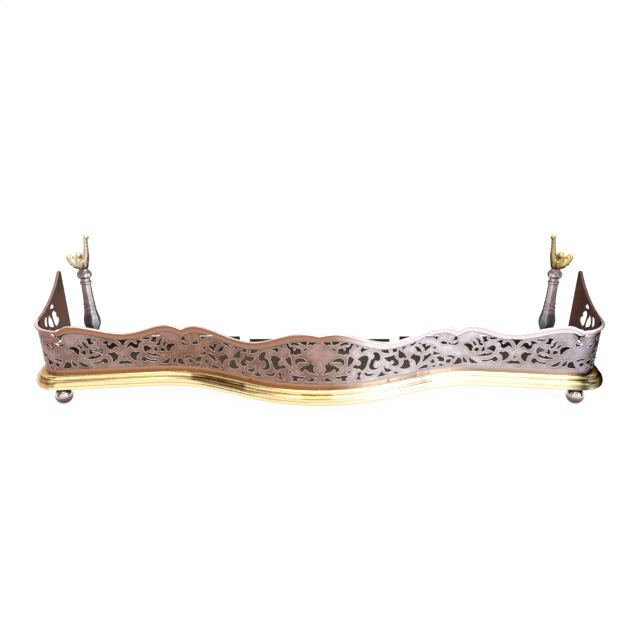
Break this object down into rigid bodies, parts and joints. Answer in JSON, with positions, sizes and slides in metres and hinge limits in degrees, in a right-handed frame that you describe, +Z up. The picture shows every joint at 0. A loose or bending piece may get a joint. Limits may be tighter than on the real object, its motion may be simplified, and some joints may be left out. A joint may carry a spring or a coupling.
{
  "type": "fire fender",
  "caption": "Serpentine fire fender: pierced steel gallery with winged ends on a brass moulded base with ball feet, and turning posts that hold fire irons in brass crooks.",
  "frame": {"origin": "on the floor, under the centre of the fender's bounding box", "axes": "+X to the right along the fender, +Y back towards the fire, +Z up"},
  "size_m": [1.27, 0.265, 0.3429],
  "materials": {
    "gallery_steel": "polished steel, warm grey",
    "rim_steel": "polished steel, worn bright",
    "brass": "polished",
    "bright_steel": "polished",
    "iron": "blackened"
  },
  "bodies": {
    "fender": {"front_gallery": "gallery_steel", "left_wing": "gallery_steel", "right_wing": "gallery_steel", "front_rim": "rim_steel", "left_wing_rim": "rim_steel", "right_wing_rim": "rim_steel", "front_moulding": "brass", "left_moulding": "brass", "right_moulding": "brass", "moulding_end_plates": "brass", "moulding_pins": "brass", "base_frame": "iron", "floor_plate": "iron", "back_rail": "iron", "corner_straps": "iron", "strap_rivets": "bright_steel", "gallery_cleats": "iron", "cleat_rivets": "bright_steel", "plate_rivets": "bright_steel", "wing_studs": "iron", "front_left_foot": "bright_steel", "front_right_foot": "bright_steel", "back_left_foot": "bright_steel", "back_right_foot": "bright_steel", "foot_nuts": "iron", "left_socket": "iron", "right_socket": "iron", "socket_rivets": "bright_steel"},
    "left_rest": {"left_post": "bright_steel", "left_crook": "brass", "left_post_washer": "iron", "left_post_nut": "iron"},
    "right_rest": {"right_post": "bright_steel", "right_crook": "brass", "right_post_washer": "iron", "right_post_nut": "iron"}
  },
  "joints": [
    {"name": "left_post_turn", "type": "hinge", "parent": "fender", "child": "left_rest", "pos_m": [-0.538, 0.0945, 0.048], "axis": [0, 0, 1], "continuous": true},
    {"name": "right_post_turn", "type": "hinge", "parent": "fender", "child": "right_rest", "pos_m": [0.538, 0.0945, 0.048], "axis": [0, 0, 1], "continuous": true}
  ]
}
